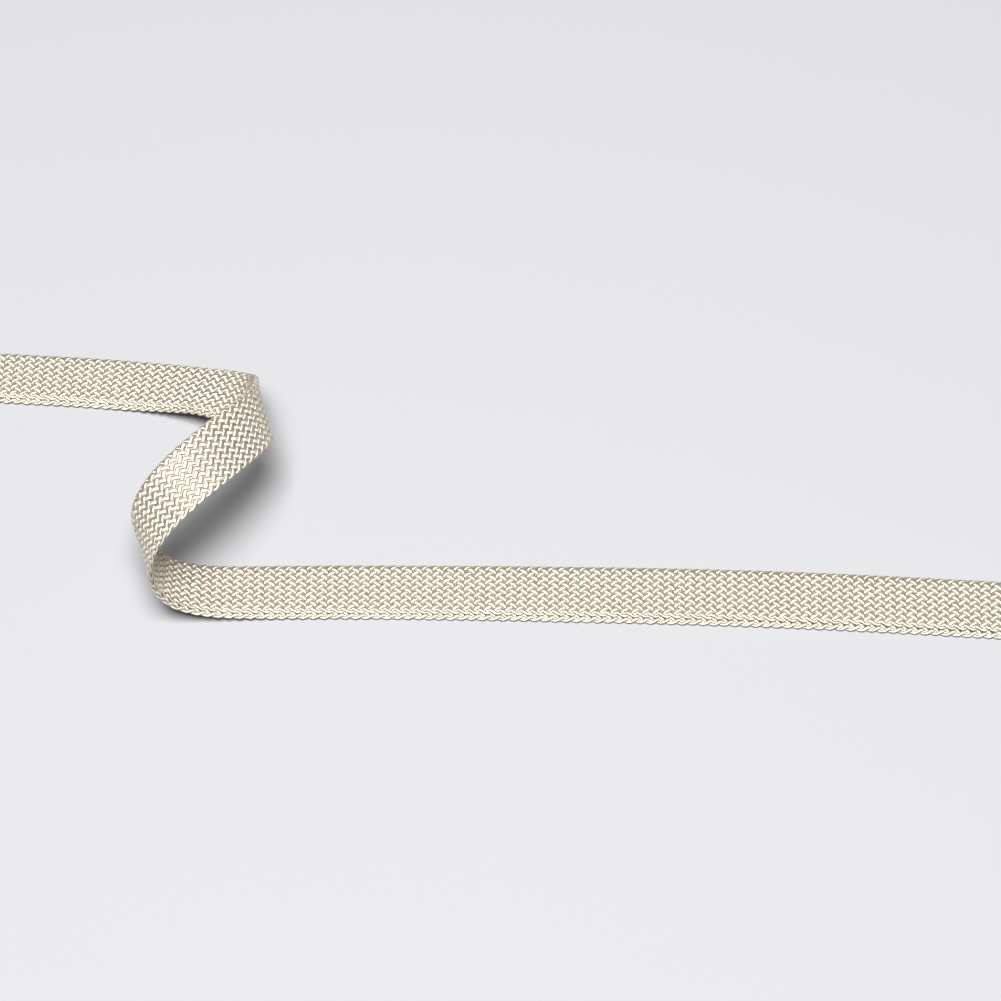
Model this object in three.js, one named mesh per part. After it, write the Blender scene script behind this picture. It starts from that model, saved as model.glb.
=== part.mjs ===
// Flat braid folded double along its length and cut off plainly at both ends.
// It lies in one loose turn: a straight run, a roll up and over, a slanting run with
// the other face up, a roll down and under, and a second straight run.
// Millimetres, +Z up. The origin is on the surface the trim lies on, at the middle of
// its footprint, and +X follows the straight runs.

import * as THREE from 'three';

// Driving dimensions of the folded trim
const foldedWidth = 12.7; // from the fold to the open edge of the under layer
const overhang = 1.1; // how far the under layer reaches past the top layer
const layerThickness = 1.0;
const layerGap = 0.3; // the two layers lie this far apart
const sectionSpacing = 3.0; // distance along the trim from one section to the next
const arcSegments = 3; // each half-round of the section has twice as many edges
const marksPerRow = 60; // length marks between two rows of the lay
const tangentReach = 0.05; // rows looked ahead and back for the direction of the lay
const ivory = 0xe9e1cd;

// Sizes that follow from them
const halfWidth = foldedWidth / 2;
const halfStack = layerThickness + layerGap / 2;
const foldCentre = halfWidth - halfStack;
const underEdge = -halfWidth + layerThickness / 2;
const topEdge = underEdge + overhang;
const layerMiddle = (layerThickness + layerGap) / 2;

// How the trim lies. Each row pulls the middle line towards the point x, y, z. The width
// line, from the open edges to the fold, points along +Y turned by swing in plan and
// raised by lift, in degrees. The top layer's free edge stands up by gape. A braid that is
// pulled longer is narrower: spread is its width here over foldedWidth.
const lay = [
  // x, y, z, swing, lift, gape, spread
  [-120, 30, halfStack, -3, 0, 0.4, 1],
  [-92, 28.5, halfStack, -5, 0, 0.2, 1],
  [-75.5, 27, halfStack, -7, 0, 0.1, 1],
  [-64.5, 24.5, 4, -18, -6, 0, 1],
  [-57.5, 21.5, 7, -30, 2, 0, 1],
  [-52.5, 18, 9, -25, 24, 0, 1],
  [-50, 14.5, 13.5, -1, 43, 0, 1],
  [-47.5, 9.5, 19, 24, 49, 0, 1],
  [-48.5, 4, 23.5, 36, 43, 0, 1],
  [-53, -2.5, 26.5, 43, 33, 0, 1],
  [-58.5, -9.5, 28.5, 48, 21, 0, 1],
  [-64, -15.5, 28.5, 49, 7, 0, 1],
  [-69, -20, 24.5, 41, -7, 0, 1],
  [-71, -23, 18.5, 24, -15, 0, 1],
  [-70, -24.5, 10.5, 7, -15, 0, 1],
  [-65.5, -25.5, 4.5, 1, -10, 0, 1],
  [-57, -25.5, 1.6, 1, -4, 0.1, 1],
  [-41, -25, halfStack, 1, 0, 0.2, 1],
  [-16, -25, halfStack, -1, 0, 0.2, 1],
  [19, -25.5, halfStack, -1, 0, 0.3, 1.04],
  [64.5, -26.5, halfStack, -3, 0, 0.6, 1.06],
  [120, -30, halfStack, -4, 0, 1.0, 1.07],
];

// The curve's value at t, where t counts rows: a uniform cubic B-spline whose ends are
// held by a row mirrored through each end row.
function layAt(t) {
  const last = lay.length - 1;
  const i = Math.min(Math.floor(t), last - 1);
  const u = t - i;
  const weights = [
    (1 - u) ** 3 / 6,
    (3 * u ** 3 - 6 * u ** 2 + 4) / 6,
    (-3 * u ** 3 + 3 * u ** 2 + 3 * u + 1) / 6,
    u ** 3 / 6,
  ];
  const row = (k) => {
    if (k < 0) return lay[0].map((value, c) => 2 * value - lay[1][c]);
    if (k > last) return lay[last].map((value, c) => 2 * value - lay[last - 1][c]);
    return lay[k];
  };
  const rows = [row(i - 1), row(i), row(i + 1), row(i + 2)];
  const [x, y, z, swing, lift, gape, spread] = lay[0].map((_, c) =>
    weights.reduce((sum, weight, k) => sum + weight * rows[k][c], 0)
  );
  return { point: new THREE.Vector3(x, y, z), swing, lift, gape, spread };
}

// Running length of the curve at fine steps of t, to place sections evenly along it
function measureLay() {
  const marks = [{ t: 0, length: 0, point: layAt(0).point }];
  for (let k = 1; k <= (lay.length - 1) * marksPerRow; k += 1) {
    const t = k / marksPerRow;
    const { point } = layAt(t);
    const before = marks[k - 1];
    marks.push({ t, length: before.length + point.distanceTo(before.point), point });
  }
  return marks;
}

// The t that lies at a running length, between the two marks around it
function rowAtLength(marks, length) {
  const k = Math.max(1, marks.findIndex((mark) => mark.length >= length));
  const [a, b] = [marks[k - 1], marks[k]];
  return a.t + ((b.t - a.t) * (length - a.length)) / (b.length - a.length);
}

// The frame of one section: its middle point, the direction across towards the fold,
// the direction out of the top layer, and the row's own gape and spread
function sectionFrame(t) {
  const ahead = layAt(Math.min(t + tangentReach, lay.length - 1)).point;
  const behind = layAt(Math.max(t - tangentReach, 0)).point;
  const along = ahead.sub(behind).normalize();
  const { point, swing, lift, gape, spread } = layAt(t);
  const [turn, slope] = [swing, lift].map(THREE.MathUtils.degToRad);
  const across = new THREE.Vector3(
    -Math.sin(turn) * Math.cos(slope),
    Math.cos(turn) * Math.cos(slope),
    Math.sin(slope)
  );
  across.addScaledVector(along, -across.dot(along)).normalize();
  const out = new THREE.Vector3().crossVectors(along, across);
  return { point, across, out, gape, spread };
}

// The folded section: x runs across towards the fold, y from the under layer to the top one
function foldedSection() {
  const section = new THREE.Shape();
  section.moveTo(underEdge, -halfStack);
  section.absarc(foldCentre, 0, halfStack, -Math.PI / 2, Math.PI / 2, false);
  section.absarc(topEdge, layerMiddle, layerThickness / 2, Math.PI / 2, -Math.PI / 2, false);
  section.absarc(foldCentre, 0, layerGap / 2, Math.PI / 2, -Math.PI / 2, true);
  section.absarc(underEdge, -layerMiddle, layerThickness / 2, Math.PI / 2, -Math.PI / 2, false);
  return section;
}

// A straight extrusion of the section, with each of its rings then set in its own frame
function foldedTrim() {
  const marks = measureLay();
  const trimLength = marks[marks.length - 1].length;
  const steps = Math.round(trimLength / sectionSpacing);
  const geometry = new THREE.ExtrudeGeometry(foldedSection(), {
    steps,
    depth: steps,
    curveSegments: arcSegments,
    bevelEnabled: false,
  });
  const frames = [];
  for (let k = 0; k <= steps; k += 1) {
    frames.push(sectionFrame(rowAtLength(marks, (trimLength * k) / steps)));
  }
  const position = geometry.attributes.position;
  for (let k = 0; k < position.count; k += 1) {
    const x = position.getX(k);
    const y = position.getY(k);
    const { point, across, out, gape, spread } = frames[Math.round(position.getZ(k))];
    const free = y > 0 ? (foldCentre - x) / (foldCentre - topEdge) : 0;
    const raised = y + gape * THREE.MathUtils.clamp(free, 0, 1);
    const place = point.clone().addScaledVector(across, x * spread).addScaledVector(out, raised);
    position.setXYZ(k, place.x, place.y, place.z);
  }
  geometry.computeVertexNormals();
  return geometry;
}

const trim = new THREE.Mesh(
  foldedTrim(),
  new THREE.MeshStandardMaterial({ color: ivory, roughness: 0.55, metalness: 0 })
);
trim.name = 'folded_braid';

const model = new THREE.Group();
model.add(trim);

export default model;
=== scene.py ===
# A cut length of flat braid, folded double along its length and lying in one loose turn.
# Every yarn of the braid is modelled along its own path. Metres, +Z up.

import math

import bpy
import numpy as np
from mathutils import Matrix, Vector


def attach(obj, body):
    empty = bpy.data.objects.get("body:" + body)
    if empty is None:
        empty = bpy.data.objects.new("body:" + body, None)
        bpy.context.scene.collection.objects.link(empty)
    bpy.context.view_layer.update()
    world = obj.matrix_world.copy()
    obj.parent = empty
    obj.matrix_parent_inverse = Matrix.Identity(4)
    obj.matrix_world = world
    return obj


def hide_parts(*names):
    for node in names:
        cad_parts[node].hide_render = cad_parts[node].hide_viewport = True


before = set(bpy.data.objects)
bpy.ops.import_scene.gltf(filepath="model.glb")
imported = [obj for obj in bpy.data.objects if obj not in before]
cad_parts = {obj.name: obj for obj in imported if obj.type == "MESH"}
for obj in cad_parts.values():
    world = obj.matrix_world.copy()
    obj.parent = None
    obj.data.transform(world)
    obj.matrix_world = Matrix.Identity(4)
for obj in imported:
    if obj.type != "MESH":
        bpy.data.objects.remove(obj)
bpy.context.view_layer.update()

# The folded section, as in the solid: an under layer, a round fold and a narrower top layer
FOLDED_WIDTH = 0.0127
OVERHANG = 0.0011
LAYER_THICKNESS = 0.0010
LAYER_GAP = 0.0003
HALF_WIDTH = FOLDED_WIDTH / 2
HALF_STACK = LAYER_THICKNESS + LAYER_GAP / 2
FOLD_CENTRE = HALF_WIDTH - HALF_STACK
FOLD_RADIUS = (LAYER_THICKNESS + LAYER_GAP) / 2
UNDER_WIDTH = FOLD_CENTRE + HALF_WIDTH
TOP_WIDTH = UNDER_WIDTH - OVERHANG
FLAT_WIDTH = UNDER_WIDTH + math.pi * FOLD_RADIUS + TOP_WIDTH
SETTLE = 0.0008  # the top layer's free edge lies this much lower than its part at the fold
GAPE_SHARE = 0.3  # of the solid's gape

# How the trim lies: the middle line's place, the direction of its width (swing in plan
# and lift, in degrees), how far the top layer's free edge stands up, and its spread
LAY = np.array([
    # x, y, z, swing, lift, gape, spread
    [-0.1200, 0.0300, HALF_STACK, -3, 0, 0.0004, 1],
    [-0.0920, 0.0285, HALF_STACK, -5, 0, 0.0002, 1],
    [-0.0755, 0.0270, HALF_STACK, -7, 0, 0.0001, 1],
    [-0.0645, 0.0245, 0.0040, -18, -6, 0, 1],
    [-0.0575, 0.0215, 0.0070, -30, 2, 0, 1],
    [-0.0525, 0.0180, 0.0090, -25, 24, 0, 1],
    [-0.0500, 0.0145, 0.0135, -1, 43, 0, 1],
    [-0.0475, 0.0095, 0.0190, 24, 49, 0, 1],
    [-0.0485, 0.0040, 0.0235, 36, 43, 0, 1],
    [-0.0530, -0.0025, 0.0265, 43, 33, 0, 1],
    [-0.0585, -0.0095, 0.0285, 48, 21, 0, 1],
    [-0.0640, -0.0155, 0.0285, 49, 7, 0, 1],
    [-0.0690, -0.0200, 0.0245, 41, -7, 0, 1],
    [-0.0710, -0.0230, 0.0185, 24, -15, 0, 1],
    [-0.0700, -0.0245, 0.0105, 7, -15, 0, 1],
    [-0.0655, -0.0255, 0.0045, 1, -10, 0, 1],
    [-0.0570, -0.0255, 0.0016, 1, -4, 0.0001, 1],
    [-0.0410, -0.0250, HALF_STACK, 1, 0, 0.0002, 1],
    [-0.0160, -0.0250, HALF_STACK, -1, 0, 0.0002, 1],
    [0.0190, -0.0255, HALF_STACK, -1, 0, 0.0003, 1.04],
    [0.0645, -0.0265, HALF_STACK, -3, 0, 0.0006, 1.06],
    [0.1200, -0.0300, HALF_STACK, -4, 0, 0.0010, 1.07],
])
MARKS_PER_ROW = 60
TANGENT_REACH = 0.05

# The braid: flat yarns that run over one and under one of the others, and turn back at
# the braid's edges
YARNS = 31
STITCH = 0.00225  # along the braid, from one crossing of a yarn to its next but one
YARN_WIDTH = 0.00120
YARN_THICKNESS = 0.00042
YARN_RISE = 0.00022  # of a yarn's middle above and below the braid's middle
YARN_SIDES = 8
STEPS_PER_CROSSING = 6
YARNS_PER_PIECE = 7
TURN_RADIUS = 0.0004  # how closely the yarns turn at the braid's edges
TURN_NARROWING = 0.4  # of the yarn's width where it turns
TURN_REACH = 0.0009  # how far from the edge the narrowing reaches
SEED = 12
WANDER = 0.00005  # how far a yarn strays from its even path
WANDER_LENGTHS = (5.3, 11.9, 31.0)  # in crossings
WIDTH_WANDER = 0.05  # of the yarn's width

# The ground that closes the small gaps between the yarns; its dark beige colour is painted shade for
# those gaps
GROUND_THICKNESS = 0.0002
GROUND_INSET = 0.0005
GROUND_STEP = 0.0012
GROUND_STRIPS = 44

IVORY = (0.79, 0.75, 0.665)
# Painted shade: the yarn's colour in the low filament grooves of its bump
IVORY_GROOVE_SHADE_PAINTED = (0.43, 0.375, 0.28)
# Painted shade: the ground sheet is coloured dark beige, standing for the shade in the gaps between
# the ivory yarns
GAP_SHADE_COLOUR = (0.42, 0.34, 0.23)
GAP_SHADE_DEEPER = (0.30, 0.24, 0.16)
FLOOR_GREY = (0.32, 0.32, 0.33)
WHITE = (1, 1, 1)

# The yarn's gloss, and its filaments as fine noise stretched along it, which also darkens the base
# colour in the filament grooves as painted shade
YARN_METALLIC = 0.85
YARN_ROUGHNESS = 0.46
YARN_ANISOTROPIC = 0.8
FILAMENT_SCALE = (1.2, 34, 1)
FILAMENT_DETAIL = 3.0
FILAMENT_BUMP = 0.5
FILAMENT_DEPTH = 0.00006
FLOOR_SIZE = 4
FLOOR_ROUGHNESS = 0.8

# Lights: place, size in metres and power in watts
KEY = ((-0.036, -0.24, 1.5), 0.78, 58)
FILL = ((0, -0.7, 0.6), 0.8, 0.35)
STUDIO_STRENGTH = 0.1

# The camera looks along +Y and down, at the photograph's scale
CAMERA_TARGET = (0.0036, -0.0018, 0)
CAMERA_DISTANCE = 0.5694
CAMERA_ELEVATION = 60
CAMERA_SENSOR = 36
CAMERA_LENS = 93.5
CAMERA_CLIP = 0.01


# The lay's values at each t, where t counts rows: a uniform cubic B-spline whose ends are
# held by a row mirrored through each end row
def lay_at(t):
    rows = np.vstack([2 * LAY[0] - LAY[1], LAY, 2 * LAY[-1] - LAY[-2]])
    i = np.clip(np.floor(t).astype(int), 0, len(LAY) - 2)
    u = (t - i)[:, None]
    return (
        (1 - u) ** 3 * rows[i]
        + (3 * u ** 3 - 6 * u ** 2 + 4) * rows[i + 1]
        + (-3 * u ** 3 + 3 * u ** 2 + 3 * u + 1) * rows[i + 2]
        + u ** 3 * rows[i + 3]
    ) / 6


def measure_lay():
    t = np.linspace(0, len(LAY) - 1, (len(LAY) - 1) * MARKS_PER_ROW + 1)
    points = lay_at(t)[:, :3]
    steps = np.linalg.norm(np.diff(points, axis=0), axis=1)
    return t, np.concatenate([[0], np.cumsum(steps)])


LAY_T, LAY_LENGTH = measure_lay()
LENGTH = LAY_LENGTH[-1]
CROSSINGS = round(LENGTH / (STITCH / 2))
CROSSING_STEP = LENGTH / CROSSINGS
CROSSING_SHIFT = FLAT_WIDTH / YARNS


def unit(vectors):
    return vectors / np.linalg.norm(vectors, axis=1, keepdims=True)


# Middle point, directions across, out of the top layer and along, gape and spread, at
# distances u along the trim
def section_frames(u):
    t = np.interp(u, LAY_LENGTH, LAY_T)
    ahead = lay_at(np.minimum(t + TANGENT_REACH, len(LAY) - 1))[:, :3]
    behind = lay_at(np.maximum(t - TANGENT_REACH, 0))[:, :3]
    along = unit(ahead - behind)
    rows = lay_at(t)
    swing, lift = np.radians(rows[:, 3]), np.radians(rows[:, 4])
    across = np.stack([
        -np.sin(swing) * np.cos(lift),
        np.cos(swing) * np.cos(lift),
        np.sin(lift),
    ], axis=1)
    across = unit(across - along * np.sum(across * along, axis=1, keepdims=True))
    return rows[:, :3], across, np.cross(along, across), rows[:, 5:6], rows[:, 6:7]


# The place in space of a point of the flat braid: u along it, v across it from the under
# layer's edge, over the fold, to the top layer's edge, and height out of its outer face
def fold_over(u, v, height):
    middle, across, out, gape, spread = section_frames(u)
    turn = np.clip((v - UNDER_WIDTH) / FOLD_RADIUS, 0, math.pi) - math.pi / 2
    before = np.minimum(v - UNDER_WIDTH, 0)
    after = np.maximum(v - UNDER_WIDTH - math.pi * FOLD_RADIUS, 0)
    radius = FOLD_RADIUS + height
    x = FOLD_CENTRE + before - after + radius * np.cos(turn)
    y = radius * np.sin(turn) + (GAPE_SHARE * gape[:, 0] - SETTLE) * after / TOP_WIDTH
    place = middle + across * x[:, None] * spread + out * y[:, None]
    outward = across * np.cos(turn)[:, None] + out * np.sin(turn)[:, None]
    return place, outward


# Slow wander of a yarn along its length, as a sum of waves with random phases, from -1 to 1
def wander(s, phases):
    waves = [np.sin(2 * math.pi * s / length + phase) for length, phase in phases]
    return sum(waves) / len(waves)


def random_phases(rng):
    return [(length, rng.uniform(0, 2 * math.pi)) for length in WANDER_LENGTHS]


# How far a yarn has come in its way across and back, in crossings, and its distance from
# the nearer edge of the braid
def way_across(index, s):
    q = np.mod(s + 2 * index, 2 * YARNS)
    edge_distance = np.abs(np.mod(q + YARNS / 2, YARNS) - YARNS / 2) * CROSSING_SHIFT
    return q, edge_distance


# A yarn's path over the flat braid. s counts crossings along the braid, and the yarn
# passes one step across at each, back and forth between the edges.
def yarn_path(index, s, rng):
    q, edge_distance = way_across(index, s)
    rounding = np.hypot(edge_distance, TURN_RADIUS) - edge_distance
    v = np.where(q <= YARNS, q, 2 * YARNS - q) * CROSSING_SHIFT
    v = v + np.where(v < FLAT_WIDTH / 2, rounding, -rounding)
    v = v + WANDER * wander(s, random_phases(rng))
    u = s * CROSSING_STEP + WANDER * wander(s, random_phases(rng))
    return u, v


# Over or under at each whole crossing, level at the turns. Each float is nearly flat and
# dives steeply at its ends.
def yarn_height(index, s):
    k = np.arange(CROSSINGS + 2)
    q, _ = way_across(index, k)
    over = (k % 2 == 0) == (q <= YARNS)
    level = np.where(over, 1.0, -1.0)
    level[(q == 0) | (q == YARNS)] = 0
    i = np.minimum(np.floor(s).astype(int), CROSSINGS)
    wave = np.cos(math.pi * (s - i))
    dive = (1 - wave * (1.5 - 0.5 * wave ** 2)) / 2
    return YARN_RISE * (level[i] + (level[i + 1] - level[i]) * dive)


# One yarn as rings of points, with its running length in yarn widths
def yarn_rings(index, rng):
    s = np.linspace(0, CROSSINGS, CROSSINGS * STEPS_PER_CROSSING + 1)
    u, v = yarn_path(index, s, rng)
    middle, outward = fold_over(np.clip(u, 0, LENGTH), v, yarn_height(index, s))
    along = unit(np.gradient(middle, axis=0))
    up = unit(outward - along * np.sum(outward * along, axis=1, keepdims=True))
    side = np.cross(along, up)
    _, edge_distance = way_across(index, s)
    width = 1 - TURN_NARROWING * np.exp(-(edge_distance / TURN_REACH) ** 2)
    width = YARN_WIDTH * width * (1 + WIDTH_WANDER * wander(s, random_phases(rng)))
    angles = 2 * math.pi * (np.arange(YARN_SIDES) + 0.5) / YARN_SIDES - math.pi / 2
    sideways = np.cos(angles)[None] * width[:, None] / 2
    upwards = np.sin(angles)[None, :, None] * YARN_THICKNESS / 2
    rings = middle[:, None] + side[:, None] * sideways[..., None] + up[:, None] * upwards
    run = np.concatenate([[0], np.cumsum(np.linalg.norm(np.diff(middle, axis=0), axis=1))])
    return rings, run / YARN_WIDTH


# The side faces of one tube, as the numbers of their four points
def tube_quads(start, count, sides):
    ring = np.arange(count - 1)[:, None] * sides + start
    a = np.arange(sides)[None]
    b = (a + 1) % sides
    return np.stack([ring + a, ring + b, ring + sides + b, ring + sides + a], axis=-1).reshape(-1, 4)


# The corners of the same faces in the map: running length, and way round the tube
def tube_uvs(run, number, sides):
    around = np.zeros((1, sides))
    near, far = run[:-1, None] + around, run[1:, None] + around
    left = np.zeros((len(run) - 1, 1)) + np.arange(sides)[None] / sides + number
    right = left + 1 / sides
    corners = [(near, left), (near, right), (far, right), (far, left)]
    return np.stack([np.stack(corner, -1) for corner in corners], axis=2).reshape(-1, 2)


# The two end faces of one tube
def tube_caps(start, count, sides):
    first = list(range(start + sides - 1, start - 1, -1))
    last = list(range(start + (count - 1) * sides, start + count * sides))
    return [first, last]


# A mesh of closed tubes, each given as rings of points and its running length
def tube_mesh(name, tubes):
    points, faces, uvs, caps = [], [], [], []
    start = 0
    for number, (rings, run) in enumerate(tubes):
        count, sides = rings.shape[:2]
        points.append(rings.reshape(-1, 3))
        faces.append(tube_quads(start, count, sides))
        uvs.append(tube_uvs(run, number, sides))
        caps += tube_caps(start, count, sides)
        start += count * sides
    return build_mesh(name, np.concatenate(points), np.concatenate(faces), caps, np.concatenate(uvs))


def build_mesh(name, points, faces, caps, uvs):
    corners = np.concatenate([faces.ravel(), np.array(caps).ravel()])
    sizes = np.array([4] * len(faces) + [len(cap) for cap in caps])
    mesh = bpy.data.meshes.new(name)
    mesh.vertices.add(len(points))
    mesh.vertices.foreach_set("co", points.astype(np.float32).ravel())
    mesh.loops.add(len(corners))
    mesh.loops.foreach_set("vertex_index", corners.astype(np.int32))
    mesh.polygons.add(len(sizes))
    mesh.polygons.foreach_set("loop_start", (np.cumsum(sizes) - sizes).astype(np.int32))
    mesh.polygons.foreach_set("loop_total", sizes.astype(np.int32))
    flat = np.zeros((len(corners), 2))
    flat[:len(uvs)] = uvs
    layer = mesh.uv_layers.new(name="yarn")
    layer.data.foreach_set("uv", flat.astype(np.float32).ravel())
    mesh.update(calc_edges=True)
    mesh.validate()
    mesh.shade_smooth()
    return mesh


def add_piece(name, mesh, material):
    mesh.materials.append(material)
    piece = bpy.data.objects.new(name, mesh)
    bpy.context.scene.collection.objects.link(piece)
    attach(piece, "root")
    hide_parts("folded_braid")
    return piece


def make_yarns(material):
    rng = np.random.default_rng(SEED)
    tubes = [yarn_rings(index, rng) for index in range(YARNS)]
    pieces = []
    for first in range(0, YARNS, YARNS_PER_PIECE):
        name = f"braid_yarns_{first // YARNS_PER_PIECE + 1}"
        mesh = tube_mesh(name, tubes[first:first + YARNS_PER_PIECE])
        pieces.append(add_piece(name, mesh, material))
    return pieces


# The thin sheet in the middle of the braid, as one closed loop round its section; where it shows
# between the yarns, its colour is painted shade
def make_ground(material):
    steps = round(LENGTH / GROUND_STEP)
    v = np.linspace(GROUND_INSET, FLAT_WIDTH - GROUND_INSET, GROUND_STRIPS + 1)
    v = np.concatenate([v, v[::-1]])
    height = np.repeat([GROUND_THICKNESS / 2, -GROUND_THICKNESS / 2], GROUND_STRIPS + 1)
    u = np.linspace(0, LENGTH, steps + 1)
    grid_u, grid_v = np.meshgrid(u, v, indexing="ij")
    places, _ = fold_over(grid_u.ravel(), grid_v.ravel(), np.tile(height, steps + 1))
    rings = places.reshape(steps + 1, len(v), 3)[:, ::-1]
    mesh = tube_mesh("braid_ground", [(rings, u / YARN_WIDTH)])
    return add_piece("braid_ground", mesh, material)


def new_material(name):
    material = bpy.data.materials.new(name)
    material.use_nodes = True
    return material, material.node_tree.nodes, material.node_tree.links


# Noise drawn out along the yarn, as its filaments are; it sets the bump and the painted shade in the
# grooves
def filament_noise(nodes, links):
    uv = nodes.new("ShaderNodeUVMap")
    uv.uv_map = "yarn"
    stretch = nodes.new("ShaderNodeMapping")
    stretch.inputs["Scale"].default_value = FILAMENT_SCALE
    links.new(uv.outputs["UV"], stretch.inputs["Vector"])
    noise = nodes.new("ShaderNodeTexNoise")
    noise.inputs["Scale"].default_value = 1.0
    noise.inputs["Detail"].default_value = FILAMENT_DETAIL
    links.new(stretch.outputs["Vector"], noise.inputs["Vector"])
    return noise.outputs["Fac"]


# Satin yarn: its highlights are drawn out along it. Its base colour turns to the shade colour where
# the filament noise is low, in the grooves of the bump: painted shade
def yarn_material(name, colour, shade):
    material, nodes, links = new_material(name)
    shader = nodes["Principled BSDF"]
    shader.inputs["Metallic"].default_value = YARN_METALLIC
    shader.inputs["Roughness"].default_value = YARN_ROUGHNESS
    shader.inputs["Anisotropic"].default_value = YARN_ANISOTROPIC
    filaments = filament_noise(nodes, links)
    bump = nodes.new("ShaderNodeBump")
    bump.inputs["Strength"].default_value = FILAMENT_BUMP
    bump.inputs["Distance"].default_value = FILAMENT_DEPTH
    links.new(filaments, bump.inputs["Height"])
    links.new(bump.outputs["Normal"], shader.inputs["Normal"])
    # Painted shade: the base colour goes to the shade colour where the filament bump is low
    ramp = nodes.new("ShaderNodeMix")
    ramp.data_type = "RGBA"
    ramp.inputs["A"].default_value = (*shade, 1)
    ramp.inputs["B"].default_value = (*colour, 1)
    links.new(filaments, ramp.inputs["Factor"])
    links.new(ramp.outputs["Result"], shader.inputs["Base Color"])
    tangent = nodes.new("ShaderNodeTangent")
    tangent.direction_type = "UV_MAP"
    tangent.uv_map = "yarn"
    links.new(tangent.outputs["Tangent"], shader.inputs["Tangent"])
    return material


def make_floor():
    material, nodes, _ = new_material("floor")
    shader = nodes["Principled BSDF"]
    shader.inputs["Base Color"].default_value = (*FLOOR_GREY, 1)
    shader.inputs["Roughness"].default_value = FLOOR_ROUGHNESS
    bpy.ops.mesh.primitive_plane_add(size=FLOOR_SIZE)
    floor = bpy.context.object
    floor.name = "floor"
    floor.data.materials.append(material)


def aim(thing, target):
    direction = Vector(target) - thing.location
    thing.rotation_euler = direction.to_track_quat("-Z", "Y").to_euler()


def add_softbox(name, place, size, power):
    light = bpy.data.lights.new(name, "AREA")
    light.shape = "RECTANGLE"
    light.size = light.size_y = size
    light.energy = power
    light.color = WHITE
    lamp = bpy.data.objects.new(name, light)
    lamp.location = place
    bpy.context.scene.collection.objects.link(lamp)
    aim(lamp, (0, 0, 0))


def make_lights():
    add_softbox("key", *KEY)
    add_softbox("fill", *FILL)
    world = bpy.data.worlds.new("studio")
    world.use_nodes = True
    background = world.node_tree.nodes["Background"]
    background.inputs["Color"].default_value = (*WHITE, 1)
    background.inputs["Strength"].default_value = STUDIO_STRENGTH
    bpy.context.scene.world = world


def make_camera():
    elevation = math.radians(CAMERA_ELEVATION)
    camera = bpy.data.cameras.new("camera")
    camera.sensor_width = CAMERA_SENSOR
    camera.lens = CAMERA_LENS
    camera.clip_start = CAMERA_CLIP
    eye = bpy.data.objects.new("camera", camera)
    back = Vector((0, -math.cos(elevation), math.sin(elevation))) * CAMERA_DISTANCE
    eye.location = Vector(CAMERA_TARGET) + back
    bpy.context.scene.collection.objects.link(eye)
    aim(eye, CAMERA_TARGET)
    bpy.context.scene.camera = eye


# The yarn's material: ivory, with painted shade in its filament grooves
yarn = yarn_material("ivory_yarn", IVORY, IVORY_GROOVE_SHADE_PAINTED)
# The ground sheet's material: painted shade for the gaps between the yarns
ground = yarn_material("painted_gap_shade", GAP_SHADE_COLOUR, GAP_SHADE_DEEPER)
yarns = make_yarns(yarn)
sheet = make_ground(ground)
make_floor()
make_lights()
make_camera()
bpy.context.scene.view_settings.view_transform = "Standard"
